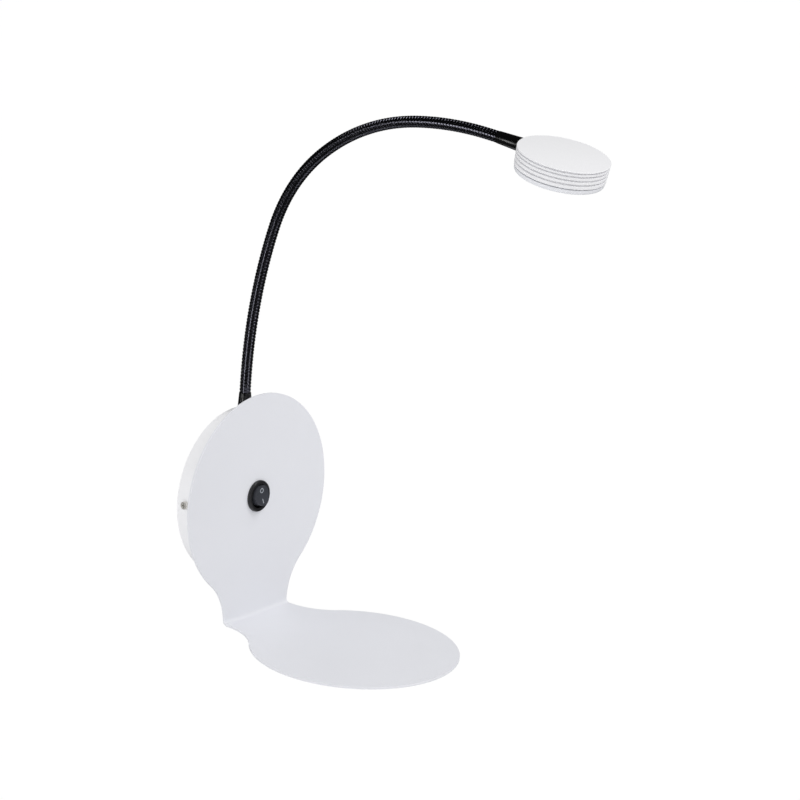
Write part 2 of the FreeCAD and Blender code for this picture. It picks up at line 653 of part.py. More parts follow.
def make_switch_plunger():
    plunger = turned("switch_plunger", "YZ_Plane", "H_Axis", [
        ("plunger_top", "0"),
        ("plunger_top", "plunger_radius"),
        ("plunger_tip - plunger_radius", "plunger_radius", "-plunger_radius"),
        ("plunger_tip", "0"),
    ])
    place(plunger, y=ROCKER_AXIS, axis=X, angle=-value("rocker_tilt"))
    return plunger


def make_switch_spring():
    spring = turned("switch_spring", "YZ_Plane", "H_Axis", [
        ("trunnion_radius", "plunger_radius - spring_wall"),
        ("trunnion_radius", "plunger_radius"),
        ("plunger_top", "plunger_radius"),
        ("plunger_top", "plunger_radius - spring_wall"),
    ])
    place(spring, y=ROCKER_AXIS, axis=X, angle=-value("rocker_tilt"))
    return spring


def make_switch_contact():
    body = new_body("switch_contact")
    strip = new_sketch(body, "YZ_Plane")
    half = "(contact_gauge / 2)"
    draw(strip, rectangle("-" + half, half, "-contact_half_length", "contact_half_length"))
    pad(body, strip, "2 * contact_half_width", both_ways=True)
    place(body, y=CONTACT_Y, axis=X, angle=value("contact_tilt"))
    return body


def make_switch_terminals():
    blades = []
    for name, top, middle in (("middle", MIDDLE_BLADE_TOP, "0"), ("end", END_BLADE_TOP, "blade_spacing")):
        blade = primitive("Box", "terminal_blade_" + name, Length="2 * blade_half_width",
                          Width="-blade_end_setback - %s" % top, Height="blade_gauge")
        place(blade, "-blade_half_width", top, "%s - blade_gauge / 2" % middle)
        blades.append(blade)
    return group("switch_terminals", blades)


# Foot of the gooseneck: a tapered ferrule with a ball on top and a threaded tail in the canopy.
def make_base_ferrule():
    tail_end = "(canopy_radius - base_tail_length)"
    seat = "(canopy_radius + seat_play)"
    below = "(%s - rim_offset)" % LINK_GAP
    body = turned("base_ferrule", "XZ_Plane", "V_Axis", [
        ("neck_bore_radius", tail_end),
        ("base_tail_radius", tail_end),
        ("base_tail_radius", seat),
        ("base_ferrule_radius", seat),
        ("ferrule_small_radius", FERRULE_SHOULDER),
        ("sqrt(ball_radius^2 - %s^2)" % below, FERRULE_SHOULDER, "ball_radius"),
        ("neck_bore_radius", "neck_foot_height + sqrt(ball_radius^2 - neck_bore_radius^2)"),
    ])
    place(body, y="-neck_setback")
    return body


def make_ferrule_washer():
    top = "(canopy_radius - canopy_wall - washer_drop)"
    body = turned("ferrule_washer", "XZ_Plane", "V_Axis", [
        ("base_tail_radius + screw_clearance", top + " - washer_gauge"),
        ("washer_radius", top + " - washer_gauge"),
        ("washer_radius", top),
        ("base_tail_radius + screw_clearance", top),
    ])
    place(body, y="-neck_setback")
    return body


def make_ferrule_nut():
    nut = hex_nut("ferrule_nut", "nut_half_flats", "nut_height", "base_tail_radius + screw_clearance")
    place(nut, y="-neck_setback", z="canopy_radius - canopy_wall - washer_drop - washer_gauge - nut_height")
    return nut


# Gooseneck: straight ribbed links, each with a ball at its far end and a socket at its near end.
def neck_lean(distance):
    """Degrees that the neck has turned from upright towards the room after this distance."""
    lean = value("neck_start_lean")
    for stretch in "abc":
        length = value("bend_%s_length" % stretch)
        here = min(max(distance, 0.0), length)
        lean += math.degrees(here / value("bend_%s_radius" % stretch))
        distance -= length
    return lean + math.degrees(max(distance, 0.0) / value("bend_d_radius"))


def direction(lean):
    return FreeCAD.Vector(0, -math.sin(math.radians(lean)), math.cos(math.radians(lean)))


def neck_joints():
    """Ball centres from the foot of the neck to its end."""
    length = value(LINK_LENGTH)
    points = [FreeCAD.Vector(0, -value("neck_setback"), value("neck_foot_height"))]
    for number in range(LINK_COUNT):
        points.append(points[-1] + direction(neck_lean((number + 0.5) * length)) * length)
    return points


def ring(x, radius):
    return Part.Wire([Part.Circle(FreeCAD.Vector(x, 0, 0), X, radius).toShape()])


def ribbed_link():
    """One link along +X from its near joint at the origin."""
    length = value(LINK_LENGTH)
    crest, root = value("rib_crest_radius"), value("rib_root_radius")
    sections = []
    for rib in range(RIBS_PER_LINK):
        near = value("rim_offset") + rib * value("rib_pitch")
        far = near + value("rib_width")
        slope = value("rib_slope")
        sections += [ring(near, root), ring(near + slope, crest), ring(far - slope, crest), ring(far, root)]
    sleeve = Part.makeLoft(sections, True, True)
    ball = Part.makeSphere(value("ball_radius"), FreeCAD.Vector(length, 0, 0))
    socket = Part.makeSphere(value("ball_radius + ball_play"))
    reach = length + 2 * value("ball_radius")
    bore = Part.makeCylinder(value("neck_bore_radius"), reach, FreeCAD.Vector(0, 0, 0), X)
    return sleeve.fuse(ball).cut(socket).cut(bore).removeSplitter()


def make_neck_links():
    shape = ribbed_link()
    joints = neck_joints()
    for number in range(LINK_COUNT):
        link = document.addObject("Part::Feature", "neck_link_%02d" % (number + 1))
        link.Shape = shape
        run = joints[number + 1] - joints[number]
        link.Placement = FreeCAD.Placement(joints[number], FreeCAD.Rotation(X, run))
        nodes.append(link)


# Lamp head: its pieces are drawn with the top face's centre at their origin and the neck behind it, at +Y.
def housing_radius(depth):
    return "(head_radius - (head_radius - head_foot_radius) * (%s) / housing_height)" % depth


SEAT_RADIUS = "(%s - spot_depth)" % housing_radius("entry_depth")


def head_placement():
    pitch = value("head_pitch")
    seat = neck_joints()[-1] + direction(90 + value("ferrule_pitch")) * value("end_ferrule_length + seat_play")
    centre = seat + direction(90 + pitch) * value(SEAT_RADIUS) + direction(pitch) * value("entry_depth")
    return FreeCAD.Placement(centre, FreeCAD.Rotation(X, pitch))


def tail_depth(inset):
    """Ferrule's axis below the head's top face, at inset from the head's centre."""
    return "(entry_depth - (%s - %s) * tan(head_pitch - ferrule_pitch))" % (SEAT_RADIUS, inset)


def put_on_head(thing):
    thing.Placement = head_placement()
    return thing


def make_end_ferrule():
    socket = "(ball_radius + ball_play)"
    tail_end = "(end_ferrule_length + end_tail_length)"
    body = turned("end_ferrule", "XZ_Plane", "V_Axis", [
        (socket, "rim_offset"),
        ("ferrule_small_radius", "rim_offset"),
        ("end_ferrule_radius", "end_ferrule_length"),
        ("end_tail_radius", "end_ferrule_length"),
        ("end_tail_radius", tail_end),
        ("neck_bore_radius", tail_end),
        ("neck_bore_radius", socket + " + rim_offset"),
        (socket, socket + " + rim_offset"),
    ])
    body.Placement = FreeCAD.Placement(neck_joints()[-1], FreeCAD.Rotation(X, 90 + value("ferrule_pitch")))
    return body


def along_ferrule(name, radius, outside, inside):
    """Round cutter on the end ferrule's axis, from outside the spot face to inside it."""
    cutter = primitive("Cylinder", name, Radius=radius, Height="%s + %s" % (outside, inside))
    tilt = value("ferrule_pitch - head_pitch")
    start = FreeCAD.Vector(0, value(SEAT_RADIUS), -value("entry_depth")) - direction(90 + tilt) * value(outside)
    cutter.Placement = FreeCAD.Placement(start, FreeCAD.Rotation(X, 90 + tilt))
    return cutter


def make_head_housing():
    corners = [("0", "0"), ("head_radius - head_edge", "0"), (housing_radius("head_edge"), "-head_edge")]
    for groove in "abcd":
        depth = "groove_%s_depth" % groove
        upper, lower = "(%s - groove_width / 2)" % depth, "(%s + groove_width / 2)" % depth
        floor = housing_radius(depth) + " - groove_bite"
        corners += [(housing_radius(upper), "-" + upper), (floor, "-" + upper)]
        corners += [(floor, "-" + lower), (housing_radius(lower), "-" + lower)]
    corners += [
        ("head_foot_radius", "-housing_height"),
        ("housing_bore_radius", "-housing_height"),
        ("housing_bore_radius", "-housing_roof"),
        ("0", "-housing_roof"),
    ]
    body = turned("housing_casting", "XZ_Plane", "V_Axis", corners)
    boss = new_sketch(body, "XZ_Plane", "-boss_inner")
    boss_foot = "(housing_roof + boss_depth)"
    draw(boss, rectangle("-boss_half_width", "boss_half_width", "-" + boss_foot, "-housing_roof / 2"))
    pad(body, boss, "housing_bore_radius - boss_inner + screw_clearance", reverse=True)
    grub = new_sketch(body, "XY_Plane", "-" + boss_foot)
    draw_circle(grub, "0", "grub_inset", "grub_radius + screw_clearance")
    pocket(body, grub, boss_foot + " - entry_depth", reverse=True)
    threads = new_sketch(body, "XY_Plane", "-housing_roof")
    board_holes(threads, "board_screw_radius + screw_clearance")
    pocket(body, threads, "board_screw_bite + seat_gap", reverse=True)
    bore = along_ferrule("tail_bore", "end_tail_radius + screw_clearance", "cut_margin", "end_tail_length + 1")
    spot = along_ferrule("spot_face", "end_ferrule_radius + wide_clearance", "cut_margin", "0")
    return put_on_head(combine("Cut", "head_housing", body, combine("Fuse", "ferrule_seat", bore, spot)))


def make_head_grub_screw():
    grub = primitive("Cylinder", "grub_blank", Radius="grub_radius",
                     Height="housing_roof + boss_depth - %s - end_tail_radius - seat_gap"
                     % tail_depth("(grub_inset + grub_radius)"))
    place(grub, y="grub_inset", z="-(housing_roof + boss_depth)")
    return put_on_head(group("head_grub_screw", [grub]))


def board_holes(sketch, radius):
    for angle in around(BOARD_SCREW_COUNT, 30):
        x, y = on_circle("board_screw_circle", angle)
        draw_circle(sketch, x, y, radius)


def flat_disc(name, radius, gauge, top):
    """Drilled disc that hangs below the level called top."""
    body = new_body(name)
    outline = new_sketch(body, "XY_Plane", top)
    draw_circle(outline, "0", "0", radius)
    board_holes(outline, "board_screw_radius + wide_clearance")
    pad(body, outline, gauge, reverse=True)
    return put_on_head(body)


def make_led_chips():
    spots = [("0", "0")]
    for count, circle, first in ((INNER_CHIPS, "chip_inner_circle", 90), (OUTER_CHIPS, "chip_outer_circle", 0)):
        spots += [on_circle(circle, angle) for angle in around(count, first)]
    chips = []
    for number, (x, y) in enumerate(spots, start=1):
        chip = primitive("Box", "led_chip_%d" % number, Length="chip_side", Width="chip_side",
                         Height="chip_height")
        place(chip, x + " - chip_side / 2", y + " - chip_side / 2", BOARD_FACE + " - chip_height")
        chips.append(chip)
    return put_on_head(group("led_chips", chips))


def make_board_screws():
    screws = []
    for number, angle in enumerate(around(BOARD_SCREW_COUNT, 30), start=1):
        name = "board_screw_%d" % number
        head = primitive("Cylinder", name + "_head", Radius="board_screw_head_radius",
                         Height="board_screw_head_height")
        place(head, z=BOARD_FACE + " - board_screw_head_height")
        shank = primitive("Cylinder", name + "_shank", Radius="board_screw_radius",
                          Height="board_gauge + thermal_gauge + board_screw_bite")
        place(shank, z=BOARD_FACE)
        screw = combine("Fuse", name, head, shank)
        x, y = on_circle("board_screw_circle", angle)
        place(screw, x, y)
        screws.append(screw)
    return put_on_head(group("board_screws", screws))


def make_diffuser():
    foot = "(housing_height + diffuser_depth)"
    rim = "(housing_height + diffuser_seat)"
    snap_top = "(housing_height - diffuser_snap_height)"
    body = turned("diffuser", "XZ_Plane", "V_Axis", [
        ("0", "-" + foot),
        ("diffuser_radius - diffuser_round", "-" + foot, "diffuser_round"),
        ("diffuser_radius", "-%s + diffuser_round" % foot),
        ("diffuser_radius", "-" + rim),
        ("diffuser_snap_radius", "-" + rim),
        ("diffuser_snap_radius", "-" + snap_top),
        ("diffuser_snap_radius - diffuser_wall", "-" + snap_top),
        ("diffuser_snap_radius - diffuser_wall", "-%s + diffuser_wall" % foot),
        ("0", "-%s + diffuser_wall" % foot),
    ])
    return put_on_head(body)


# Wires: straight runs joined by tangent arcs.
def wire_path(points):
    edges = []
    last = points[0]
    for before, corner, after in zip(points, points[1:], points[2:]):
        back, ahead = before - corner, after - corner
        cut = 0.45 * min(back.Length, ahead.Length)
        turn = math.pi - back.getAngle(ahead)
        start = corner + back.normalize() * cut
        end = corner + ahead.normalize() * cut
        radius = cut / math.tan(turn / 2)
        towards = ((start + end) / 2 - corner).normalize()
        middle = corner + towards * (math.hypot(radius, cut) - radius)
        edges.append(Part.LineSegment(last, start).toShape())
        edges.append(Part.Arc(start, middle, end).toShape())
        last = end
    edges.append(Part.LineSegment(last, points[-1]).toShape())
    return Part.Wire(edges)


def make_lead(name, radius, points):
    """Round wire along points, whose coordinates are expressions or numbers."""
    route = [FreeCAD.Vector(*[value(str(number)) for number in point]) for point in points]
    path = wire_path(route)
    section = Part.Wire([Part.Circle(route[0], route[1] - route[0], value(radius)).toShape()])
    lead = document.addObject("Part::Feature", name)
    lead.Shape = path.makePipeShell([section], True, False)
    full = math.pi * value(radius) ** 2 * path.Length
    print("%s: %.1f mm long, volume %.3f of section times length" % (name, path.Length, lead.Shape.Volume / full))
    return lead


BLOCK_FOOT = "(block_rise - block_height / 2)"
BLOCK_Y = "(%s + block_thickness / 2)" % CANOPY_INSIDE
DRIVER_TOP = "(driver_height / 2 - driver_drop)"
DRIVER_Y = "(%s + driver_pad_gauge + driver_thickness / 2)" % CANOPY_INSIDE
BLADE_Y = "(-blade_end_setback - 2.5)"
TAG_FACE = "(%s + earth_tag_gauge)" % CANOPY_INSIDE


def make_lead_live():
    return make_lead("lead_live", "lead_radius", [
        ("-block_pitch", BLOCK_Y, BLOCK_FOOT),
        ("-block_pitch", BLOCK_Y, 19),
        (-7.6, -11, 15),
        (-4.5, -8.6, 13),
        (0, BLADE_Y, 10),
        (0, BLADE_Y, "blade_spacing + blade_gauge / 2"),
    ])


def make_lead_switched():
    return make_lead("lead_switched", "lead_radius", [
        (0, BLADE_Y, "-blade_gauge / 2"),
        (0, BLADE_Y, -5.5),
        (4.5, -8.2, -11),
        (11, -10.6, -16),
        (14, DRIVER_Y, -21),
        (14, DRIVER_Y, DRIVER_TOP),
    ])


def make_lead_neutral():
    return make_lead("lead_neutral", "lead_radius", [
        ("block_pitch", BLOCK_Y, BLOCK_FOOT),
        ("block_pitch", BLOCK_Y, 18),
        (14.5, -13, 9),
        (17.4, -12.6, -1),
        (18, DRIVER_Y, -13),
        (18, DRIVER_Y, DRIVER_TOP),
    ])


def make_lead_neck():
    tail_end = "(canopy_radius - base_tail_length)"
    return make_lead("lead_neck", "neck_lead_radius", [
        (-14, DRIVER_Y, DRIVER_TOP),
        (-14, DRIVER_Y, -19),
        (-17.6, -12, -4),
        (-18.6, -11.8, 10),
        (-18.4, -11.2, 25),
        (-16.6, -10.8, 38),
        (-9.5, "-neck_setback", 45.5),
        (-1.2, "-neck_setback", 48),
        (0, "-neck_setback", tail_end),
    ])


def make_lead_earth():
    tag = primitive("Cylinder", "earth_tag_disc", Radius="earth_tag_radius", Height="earth_tag_gauge")
    hole = primitive("Cylinder", "earth_tag_hole", Radius="earth_stud_radius + screw_clearance",
                     Height="earth_tag_gauge")
    ring_tag = combine("Cut", "earth_tag", tag, hole)
    place(ring_tag, "-earth_stud_offset", CANOPY_INSIDE, axis=X, angle=-90)
    landing = ("5.2 - earth_stud_offset", TAG_FACE, 1)
    wire = make_lead("earth_wire", "lead_radius", [
        (0, BLOCK_Y, BLOCK_FOOT),
        (0, BLOCK_Y, 19),
        (-8, -15.6, 14.4),
        (-19, -16.4, 11.4),
        (-30, -15.4, 6.4),
        (landing[0], -15.2, 1),
        landing,
    ])
    return group("lead_earth", [ring_tag, wire])


# Parts inside the canopy.
def plane_behind_wall(y):
    """Offset that brings the XZ plane to this y; its normal is -Y."""
    return "-(%s)" % y


def make_led_driver():
    body = new_body("led_driver")
    seat = "%s + driver_pad_gauge" % CANOPY_INSIDE
    outline = new_sketch(body, "XZ_Plane", plane_behind_wall(seat))
    draw(outline, rectangle("-driver_length / 2", "driver_length / 2",
                            "-driver_drop - driver_height / 2", "-driver_drop + driver_height / 2"))
    block = pad(body, outline, "driver_thickness", reverse=True)
    document.recompute()
    rounds = body.newObject("PartDesign::Fillet", "led_driver_rounds")
    rounds.Base = (block, ["Edge%d" % (number + 1) for number in range(len(block.Shape.Edges))])
    bind(rounds, "Radius", "driver_round")
    return body


def make_driver_pad():
    body = new_body("driver_pad")
    outline = new_sketch(body, "XZ_Plane", plane_behind_wall(CANOPY_INSIDE))
    wide = "(driver_length / 2 - driver_pad_inset)"
    high = "(driver_height / 2 - driver_pad_inset)"
    draw(outline, rectangle("-" + wide, wide, "-driver_drop - " + high, "-driver_drop + " + high))
    pad(body, outline, "driver_pad_gauge", reverse=True)
    return body


def clamp_places():
    for pole in (-1, 0, 1):
        for side in (-1, 1):
            yield "%d * block_pitch" % pole, "block_rise + %d * clamp_screw_spread" % side


def make_terminal_block():
    body = new_body("terminal_block")
    outline = new_sketch(body, "XZ_Plane", plane_behind_wall(CANOPY_INSIDE))
    draw(outline, rectangle("-block_length / 2", "block_length / 2", BLOCK_FOOT, BLOCK_FOOT + " + block_height"))
    pad(body, outline, "block_thickness", reverse=True)
    face = plane_behind_wall("%s + block_thickness" % CANOPY_INSIDE)
    wells = new_sketch(body, "XZ_Plane", face)
    for x, z in clamp_places():
        draw_circle(wells, x, z, "clamp_screw_radius + screw_clearance")
    pocket(body, wells, "clamp_screw_depth", reverse=True)
    gaps = new_sketch(body, "XZ_Plane", face)
    for side in ("-1", "1"):
        middle = "(%s * block_pitch / 2)" % side
        draw(gaps, rectangle(middle + " - block_gap_half_width", middle + " + block_gap_half_width",
                             BLOCK_FOOT + " - cut_margin",
                             BLOCK_FOOT + " + block_height + cut_margin"))
    pocket(body, gaps, "clamp_screw_depth", reverse=True)
    return body


def make_terminal_screws():
    screws = []
    for number, (x, z) in enumerate(clamp_places(), start=1):
        name = "clamp_screw_%d" % number
        height = "(clamp_screw_depth - clamp_screw_recess)"
        blank = primitive("Cylinder", name + "_blank", Radius="clamp_screw_radius", Height=height)
        slot = primitive("Box", name + "_slot", Length="clamp_screw_radius * 3",
                         Width="screwdriver_slot_width", Height="screwdriver_slot_depth")
        place(slot, "-clamp_screw_radius * 1.5", "-screwdriver_slot_width / 2",
              height + " - screwdriver_slot_depth")
        screw = combine("Cut", name, blank, slot)
        place(screw, x, "%s + block_thickness - clamp_screw_depth" % CANOPY_INSIDE, z, axis=X, angle=-90)
        screws.append(screw)
    return group("terminal_screws", screws)


def make_earth_stud():
    stud = primitive("Cylinder", "earth_stud", Radius="earth_stud_radius", Height="earth_stud_length")
    place(stud, "-earth_stud_offset", CANOPY_INSIDE, axis=X, angle=-90)
    return stud


def make_earth_nut():
    nut = hex_nut("earth_nut", "earth_nut_half_flats", "earth_nut_height", "earth_stud_radius + screw_clearance")
    place(nut, "-earth_stud_offset", TAG_FACE, axis=X, angle=-90)
    return nut


def make_head_leads():
    leads = []
    for side in (-1, 1):
        leads.append(make_lead("head_lead_%s" % ("left" if side < 0 else "right"), "head_lead_radius", [
            (0.75 * side, "boss_inner + 3", "-" + tail_depth("(boss_inner + 3)")),
            (0.8 * side, "boss_inner - 0.5", "-" + tail_depth("(boss_inner - 0.5)")),
            (1.2 * side, "boss_inner - 3.4", "-entry_depth - 1.2"),
            (1.6 * side, 15.2, "-entry_depth - 1"),
            (1.6 * side, 15.2, BOARD_FACE),
        ]))
    return put_on_head(group("head_leads", leads))


nodes = [
    make_wall_bracket(),
    make_canopy(),
    make_side_screws(),
    make_shelf_plate(),
    make_plate_studs(),
    make_plate_nuts(),
    make_switch_housing(),
    make_switch_rocker(),
    make_switch_plunger(),
    make_switch_spring(),
    make_switch_contact(),
    make_switch_terminals(),
    make_base_ferrule(),
    make_ferrule_washer(),
    make_ferrule_nut(),
    make_led_driver(),
    make_driver_pad(),
    make_terminal_block(),
    make_terminal_screws(),
    make_earth_stud(),
    make_earth_nut(),
    make_lead_live(),
    make_lead_switched(),
    make_lead_neutral(),
    make_lead_neck(),
    make_lead_earth(),
    make_end_ferrule(),
    make_head_housing(),
    make_head_grub_screw(),
    flat_disc("thermal_pad", "thermal_radius", "thermal_gauge", "-housing_roof"),
    flat_disc("led_board", "board_radius", "board_gauge", BOARD_TOP),
    make_led_chips(),
    make_board_screws(),
    make_head_leads(),
    make_diffuser(),
]
make_neck_links()
document.recompute()

for thing in document.Objects:
    if "Invalid" in thing.State or "Error" in thing.State:
        raise RuntimeError("%s failed: %s" % (thing.Label, thing.State))
for node in nodes:
    if node.Shape.isNull() or not node.Shape.isValid():
        raise RuntimeError("%s has no valid shape" % node.Label)

os.makedirs("parts", exist_ok=True)
for node in nodes:
    node.Shape.exportStep("parts/%s.step" % node.Label)
    box = node.Shape.BoundBox
    print("%-18s %9.1f mm3  x %.1f..%.1f  y %.1f..%.1f  z %.1f..%.1f" % (
        node.Label, node.Shape.Volume, box.XMin, box.XMax, box.YMin, box.YMax, box.ZMin, box.ZMax))
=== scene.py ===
import math

import bmesh
import bpy
from mathutils import Matrix, Vector


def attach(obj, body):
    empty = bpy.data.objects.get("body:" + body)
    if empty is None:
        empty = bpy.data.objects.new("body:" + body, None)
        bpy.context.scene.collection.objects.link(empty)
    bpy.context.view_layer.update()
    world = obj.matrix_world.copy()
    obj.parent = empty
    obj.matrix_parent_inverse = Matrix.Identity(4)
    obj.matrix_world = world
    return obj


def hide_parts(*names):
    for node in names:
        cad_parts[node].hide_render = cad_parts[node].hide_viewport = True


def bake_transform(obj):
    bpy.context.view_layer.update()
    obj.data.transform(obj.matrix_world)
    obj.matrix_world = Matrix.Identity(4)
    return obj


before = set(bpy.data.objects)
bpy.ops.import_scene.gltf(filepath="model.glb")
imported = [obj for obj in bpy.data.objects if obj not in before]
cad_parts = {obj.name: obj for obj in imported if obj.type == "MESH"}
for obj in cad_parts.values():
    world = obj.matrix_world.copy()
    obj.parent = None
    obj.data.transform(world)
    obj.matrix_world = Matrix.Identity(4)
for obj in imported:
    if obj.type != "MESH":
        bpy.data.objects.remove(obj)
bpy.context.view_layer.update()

# Sizes in millimetres in the lamp's own frame: wall at y = 0, room towards -Y, +Z up.
MM = 0.001
CANOPY_RADIUS = 61.4
CANOPY_DEPTH = 21.5
CANOPY_WALL = 1.2
CANOPY_ROUND = 1.6
RIM_ROUND = 0.3
SHEET = 1.5
PLATE_FACE = -23.0
PLATE_RADIUS = 75.0
FOLD_DROP = 88.5
SHELF_REACH = 92.3
WAIST = 34.7
WAIST_ROUND = 41.0
FOLD_RADIUS = 3.0
DROOP = math.radians(3.0)
BEND_STEPS = 10
WAIST_STEPS = 14
DISC_STEPS = 64
HOLE_STEPS = 24
RIM_CLEAR = 0.4  # the discs' rims start this far past the fold
SWITCH_HOLE = 10.0
ROCKER_AXIS = -21.2
FACET_OUT = 5.6
ROCKER_SET = math.radians(-10)
FACET_TILT = math.radians(10)
MARK_SUNK = -0.05
MARK_PROUD = 0.03
RING_INNER = 1.35
RING_OUTER = 1.8
RING_REACH = 3.6
BAR_HALF_WIDTH = 0.25
BAR_HALF_LENGTH = 1.6
BAR_REACH = 4.1
NECK_FOOT = Vector((0, -9.3, 75.5))
NECK_START = 2.3
NECK_BENDS = ((126.5, 418.0), (71.5, 133.7), (91.0, 163.7), (1000.0, 262.8))  # length and radius of each arc
LINKS = 24
LINK = 15.0
RIB_PITCH = 2.5
RIB_START = 0.3
CREST = 4.1
ROOT = 3.62
SKIN_SIDES = 32
SKIN_BELOW_FOOT = -0.9
TIP_OVERLAP = 0.2
LEAD_BORE = 1.9
TAIL_FOOT = 53.4
TAIL_RADIUS = 4.0
COLLAR_FOOT = 61.45
COLLAR_TOP = 62.4
COLLAR_RADIUS = 5.3
SLEEVE_TIP = 4.25
SLEEVE_TOP = 74.55
END_SLEEVE_START = 0.3
END_SLEEVE_RADIUS = 5.1
END_TAIL_RADIUS = 3.0
END_TAIL = 9.5
PITCH = 12.5
FERRULE_PITCH = 7.0
HEAD_RADIUS = 31.9
HEAD_FOOT = 31.2
HOUSING = 12.6
ENTRY = 6.7
SPOT_FACE = 0.6
END_FERRULE = 23.4
FERRULE_GAP = 0.05
HEAD_ROUND = 0.55
HOUSING_BORE = 27.4
HOUSING_ROOF = 2.6
GROOVES = (1.4, 3.8, 6.7, 9.7)
GROOVE_HALF = 0.55
GROOVE_BITE = 2.0
DIFFUSER_TOP = 11.4
DIFFUSER_EDGE = 13.4
DIFFUSER_INSIDE = 15.3
DIFFUSER_BASE = 16.8
DIFFUSER_RIM = 31.0
DIFFUSER_RADIUS = 30.4
DIFFUSER_ROUND = 3.0
SNAP_RADIUS = 27.3
DIFFUSER_BORE = 25.8

# Studio, in metres.
FLOOR_HEIGHT = -1.1
FLOOR_HALF = 40
LIT_SPOT = Vector((0, -0.1, 0.05))
CAMERA_SPOT = (-2.0952, -1.7943, 0.8434)
CAMERA_BACK = (-0.7574, -0.5944, 0.2701)
CAMERA_UP = (0.1948, 0.1890, 0.9624)


def srgb(r, g, b):
    """Colour from 0-255 display values to scene values."""
    out = []
    for c in (r, g, b):
        c /= 255
        out.append(c / 12.92 if c <= 0.04045 else ((c + 0.055) / 1.055) ** 2.4)
    return out


# Materials.
def finish_of(name, colour, rough, metal=0.0, mottle=0.03, grain=600, spread=0.05, bump=0.02, shine=0.5):
    """Noise moves the colour, the roughness and the surface a little."""
    mat = bpy.data.materials.new(name)
    mat.use_nodes = True
    tree = mat.node_tree
    nodes, links = tree.nodes, tree.links
    shader = nodes["Principled BSDF"]
    place = nodes.new("ShaderNodeTexCoord")
    cloud = nodes.new("ShaderNodeTexNoise")
    cloud.inputs["Scale"].default_value = 18.0
    cloud.inputs["Detail"].default_value = 3.0
    fine = nodes.new("ShaderNodeTexNoise")
    fine.inputs["Scale"].default_value = grain
    fine.inputs["Detail"].default_value = 2.0
    links.new(place.outputs["Object"], cloud.inputs["Vector"])
    links.new(place.outputs["Object"], fine.inputs["Vector"])
    ramp = nodes.new("ShaderNodeValToRGB")
    ramp.color_ramp.elements[0].position = 0.35
    ramp.color_ramp.elements[1].position = 0.65
    ramp.color_ramp.elements[0].color = [c * (1 - mottle) for c in colour] + [1]
    ramp.color_ramp.elements[1].color = [min(1.0, c * (1 + mottle)) for c in colour] + [1]
    links.new(cloud.outputs["Fac"], ramp.inputs["Fac"])
    links.new(ramp.outputs["Color"], shader.inputs["Base Color"])
    level = nodes.new("ShaderNodeMapRange")
    level.inputs["To Min"].default_value = max(0.02, rough - spread)
    level.inputs["To Max"].default_value = min(1.0, rough + spread)
    links.new(fine.outputs["Fac"], level.inputs["Value"])
    links.new(level.outputs["Result"], shader.inputs["Roughness"])
    dent = nodes.new("ShaderNodeBump")
    dent.inputs["Strength"].default_value = bump
    dent.inputs["Distance"].default_value = 0.0002
    links.new(fine.outputs["Fac"], dent.inputs["Height"])
    links.new(dent.outputs["Normal"], shader.inputs["Normal"])
    shader.inputs["Metallic"].default_value = metal
    shader.inputs["Specular IOR Level"].default_value = shine
    return mat


SHEET_WHITE = finish_of("white_sheet", srgb(232, 233, 238), 0.50, mottle=0.006, grain=900,
                        bump=0.01, shine=0.3)
CANOPY_WHITE = finish_of("white_canopy", srgb(247, 247, 249), 0.45, mottle=0.006, grain=900, bump=0.01)
HEAD_WHITE = finish_of("white_head", srgb(247, 247, 249), 0.45, mottle=0.005, grain=900, bump=0.005)
OPAL = finish_of("opal", srgb(240, 241, 245), 0.35, mottle=0.008, grain=900, bump=0.01)
NECK_BLACK = finish_of("neck_black", srgb(92, 92, 100), 0.19, metal=1.0, mottle=0.03, grain=900,
                       spread=0.01, bump=0.0)
FERRULE_BLACK = finish_of("ferrule_black", srgb(7, 7, 8), 0.20, mottle=0.15, grain=1800, bump=0.02)
SWITCH_BLACK = finish_of("switch_black", srgb(36, 36, 38), 0.36, mottle=0.12, grain=2200, bump=0.06)
ROCKER_BLACK = finish_of("rocker_black", srgb(60, 62, 68), 0.34, mottle=0.08, grain=2200, bump=0.05)
MARK_GREY = finish_of("mark_grey", srgb(190, 196, 204), 0.50, mottle=0.03, grain=2000, bump=0.05)
NICKEL = finish_of("nickel", srgb(225, 222, 216), 0.28, metal=0.5, mottle=0.06, grain=1500, bump=0.05)
ZINC = finish_of("zinc", srgb(178, 181, 184), 0.36, metal=0.4, mottle=0.10, grain=900, bump=0.08)
SPRING = finish_of("spring_steel", srgb(165, 168, 172), 0.28, metal=0.4, mottle=0.08, grain=1500, bump=0.05)
BRASS = finish_of("brass", srgb(205, 176, 110), 0.30, metal=0.4, mottle=0.08, grain=1200, bump=0.06)
BLOCK = finish_of("block_plastic", srgb(226, 226, 222), 0.55, mottle=0.02, grain=1400, bump=0.06)
CASE = finish_of("driver_case", srgb(214, 216, 219), 0.55, mottle=0.02, grain=1400, bump=0.08)
PAD = finish_of("grey_pad", srgb(120, 122, 126), 0.85, mottle=0.10, grain=900, bump=0.20)
BOARD = finish_of("board_white", srgb(228, 228, 224), 0.45, mottle=0.02, grain=1400, bump=0.04)
CHIP = finish_of("led_phosphor", srgb(240, 214, 120), 0.50, mottle=0.05, grain=1600, bump=0.05)
BROWN = finish_of("brown_lead", srgb(104, 66, 44), 0.50, mottle=0.06, grain=1300, bump=0.05)
BLUE = finish_of("blue_lead", srgb(44, 84, 168), 0.50, mottle=0.06, grain=1300, bump=0.05)
GREY = finish_of("grey_lead", srgb(168, 168, 170), 0.55, mottle=0.05, grain=1300, bump=0.05)
GREEN = finish_of("earth_lead", srgb(120, 168, 60), 0.50, mottle=0.06, grain=1300, bump=0.05)

